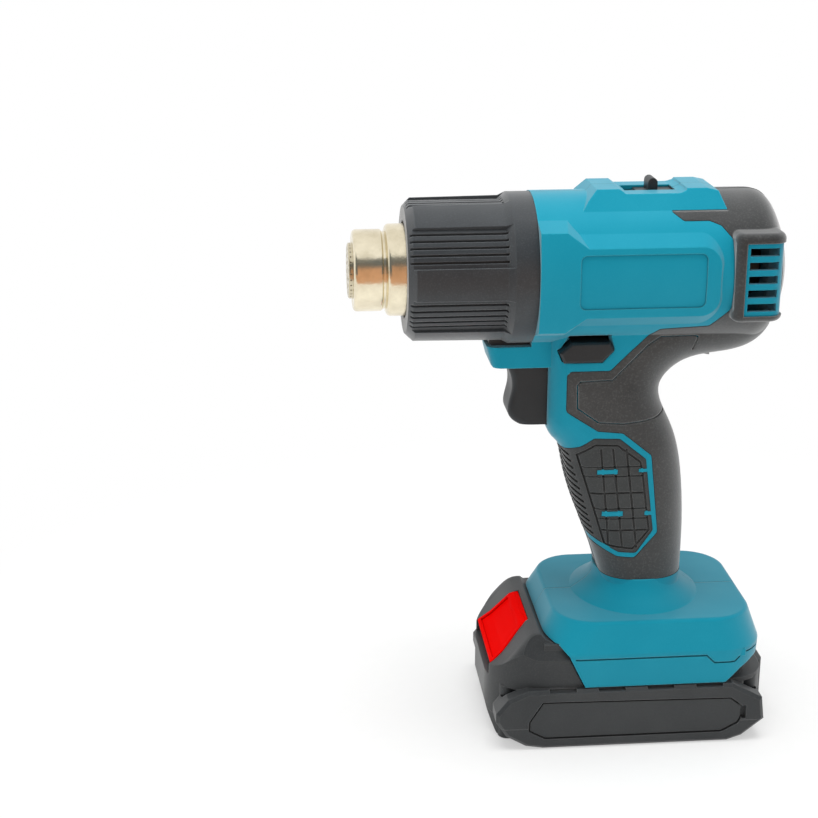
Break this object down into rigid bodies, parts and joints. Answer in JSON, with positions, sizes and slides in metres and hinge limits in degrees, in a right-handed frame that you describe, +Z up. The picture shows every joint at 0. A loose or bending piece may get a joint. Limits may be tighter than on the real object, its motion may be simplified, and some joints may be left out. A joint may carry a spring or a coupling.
{
  "type": "cordless heat gun",
  "caption": "Pistol-grip cordless hot air gun: finned front sleeve with steel outlet, trigger, lock-off and temperature slider, side air intakes and slide-on battery pack.",
  "frame": {"origin": "centre of the battery pack's underside, on the surface that the gun stands on", "axes": "+X the way the hot air leaves, +Y the operator's left, +Z up"},
  "size_m": [0.1732, 0.078, 0.2276],
  "materials": {
    "housing": "satin",
    "soft_grip": "matt",
    "sleeve": "satin",
    "steel": "polished",
    "mica": "matt",
    "coil": "oxidised",
    "black_plastic": "satin",
    "motor_can": "plated",
    "board": "satin",
    "contact": "plated",
    "battery_case": "fine texture",
    "cell_wrap": "shrink wrap",
    "red_plastic": "satin"
  },
  "bodies": {
    "gun": {"housing_left": "housing", "housing_right": "housing", "rear_grip_left": "soft_grip", "rear_grip_right": "soft_grip", "finger_pad_left": "soft_grip", "finger_pad_right": "soft_grip", "vent_grille_left": "housing", "vent_grille_right": "housing", "front_sleeve": "sleeve", "outlet_tube": "steel", "outlet_guard": "steel", "heater_liner": "mica", "heater_core": "mica", "heating_coil": "coil", "heater_flange": "steel", "fan_duct": "black_plastic", "motor": "motor_can", "motor_mount": "black_plastic", "selector_board": "board", "selector_switch": "black_plastic", "trigger_switch": "black_plastic", "trigger_spring": "steel", "control_board": "board", "terminal_block": "black_plastic", "terminal_blades": "contact", "housing_screws": "steel"},
    "trigger_body": {"trigger": "black_plastic", "switch_plunger": "black_plastic"},
    "lock_body": {"lock_button": "black_plastic"},
    "selector_body": {"selector_knob": "black_plastic"},
    "fan_body": {"fan_impeller": "black_plastic", "motor_shaft": "steel"},
    "battery": {"battery_upper_case": "battery_case", "battery_lower_case": "battery_case", "battery_panel_left": "battery_case", "battery_panel_right": "battery_case", "battery_cells": "cell_wrap", "cell_holder": "black_plastic", "battery_board": "board", "battery_terminals": "contact", "battery_screws": "steel", "latch_spring": "steel"},
    "release_body": {"release_button": "red_plastic", "latch_hook": "red_plastic"}
  },
  "joints": [
    {"name": "trigger_pull", "type": "slide", "parent": "gun", "child": "trigger_body", "axis": [-1, 0, 0], "range_m": [0, 0.006], "stiffness_N_per_m": 600, "springref_m": -0.004, "deforming": ["trigger_spring"]},
    {"name": "lock_off", "type": "slide", "parent": "gun", "child": "lock_body", "axis": [0, -1, 0], "range_m": [0, 0.005]},
    {"name": "temperature_selector", "type": "slide", "parent": "gun", "child": "selector_body", "axis": [1, 0, 0], "range_m": [-0.0035, 0.0035]},
    {"name": "fan_spin", "type": "hinge", "parent": "gun", "child": "fan_body", "pos_m": [0, 0, 0.1925], "axis": [1, 0, 0], "continuous": true},
    {"name": "pack_slide", "type": "slide", "parent": "gun", "child": "battery", "axis": [1, 0, 0], "range_m": [0, 0.08]},
    {"name": "pack_release", "type": "slide", "parent": "battery", "child": "release_body", "axis": [0, 0, -1], "range_m": [0, 0.004], "stiffness_N_per_m": 900, "springref_m": -0.003, "deforming": ["latch_spring"]}
  ]
}
